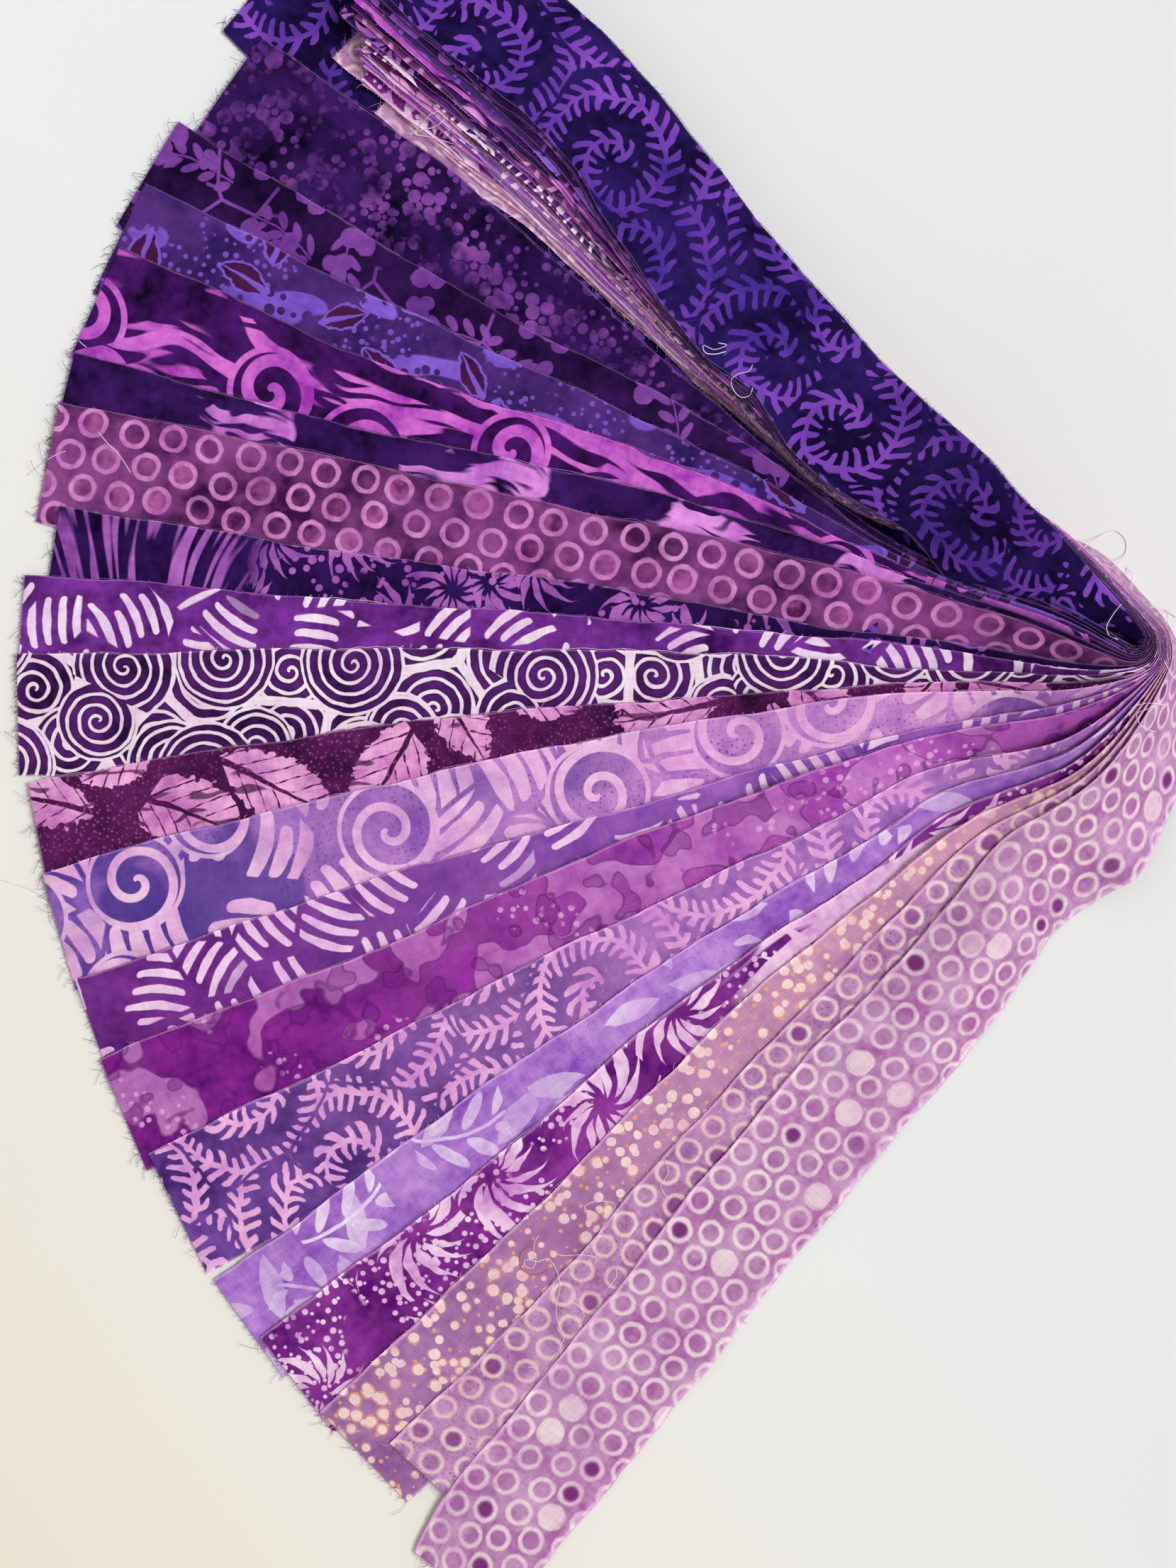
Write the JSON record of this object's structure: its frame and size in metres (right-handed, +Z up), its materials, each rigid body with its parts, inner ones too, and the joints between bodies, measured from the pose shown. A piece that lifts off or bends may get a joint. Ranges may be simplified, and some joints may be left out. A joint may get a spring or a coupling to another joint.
{
  "type": "fabric strip bundle",
  "caption": "Bundle of long dyed cotton strips, turned back on itself at one end, fanned out at one side and stacked at the other.",
  "frame": {"origin": "bottom centre of the bounding box, on the surface that the bundle lies on", "axes": "+Z up, +X from the fan's free ends towards the turn, +Y towards the free ends of the stack"},
  "size_m": [0.6363, 0.9028, 0.0796],
  "materials": {
    "strip_01": "matte",
    "strip_02": "matte",
    "strip_03": "matte",
    "strip_04": "matte",
    "strip_05": "matte",
    "strip_06": "matte",
    "strip_07": "matte",
    "strip_08": "matte",
    "strip_09": "matte",
    "strip_10": "matte",
    "strip_11": "matte",
    "strip_12": "matte",
    "strip_13": "matte",
    "strip_14": "matte",
    "strip_15": "matte",
    "strip_16": "matte",
    "strip_17": "matte",
    "strip_18": "matte",
    "strip_19": "matte",
    "strip_20": "matte"
  },
  "bodies": {
    "root": {"strip_01": "strip_01", "strip_02": "strip_02", "strip_03": "strip_03", "strip_04": "strip_04", "strip_05": "strip_05", "strip_06": "strip_06", "strip_07": "strip_07", "strip_08": "strip_08", "strip_09": "strip_09", "strip_10": "strip_10", "strip_11": "strip_11", "strip_12": "strip_12", "strip_13": "strip_13", "strip_14": "strip_14", "strip_15": "strip_15", "strip_16": "strip_16", "strip_17": "strip_17", "strip_18": "strip_18", "strip_19": "strip_19", "strip_20": "strip_20"}
  },
  "joints": []
}
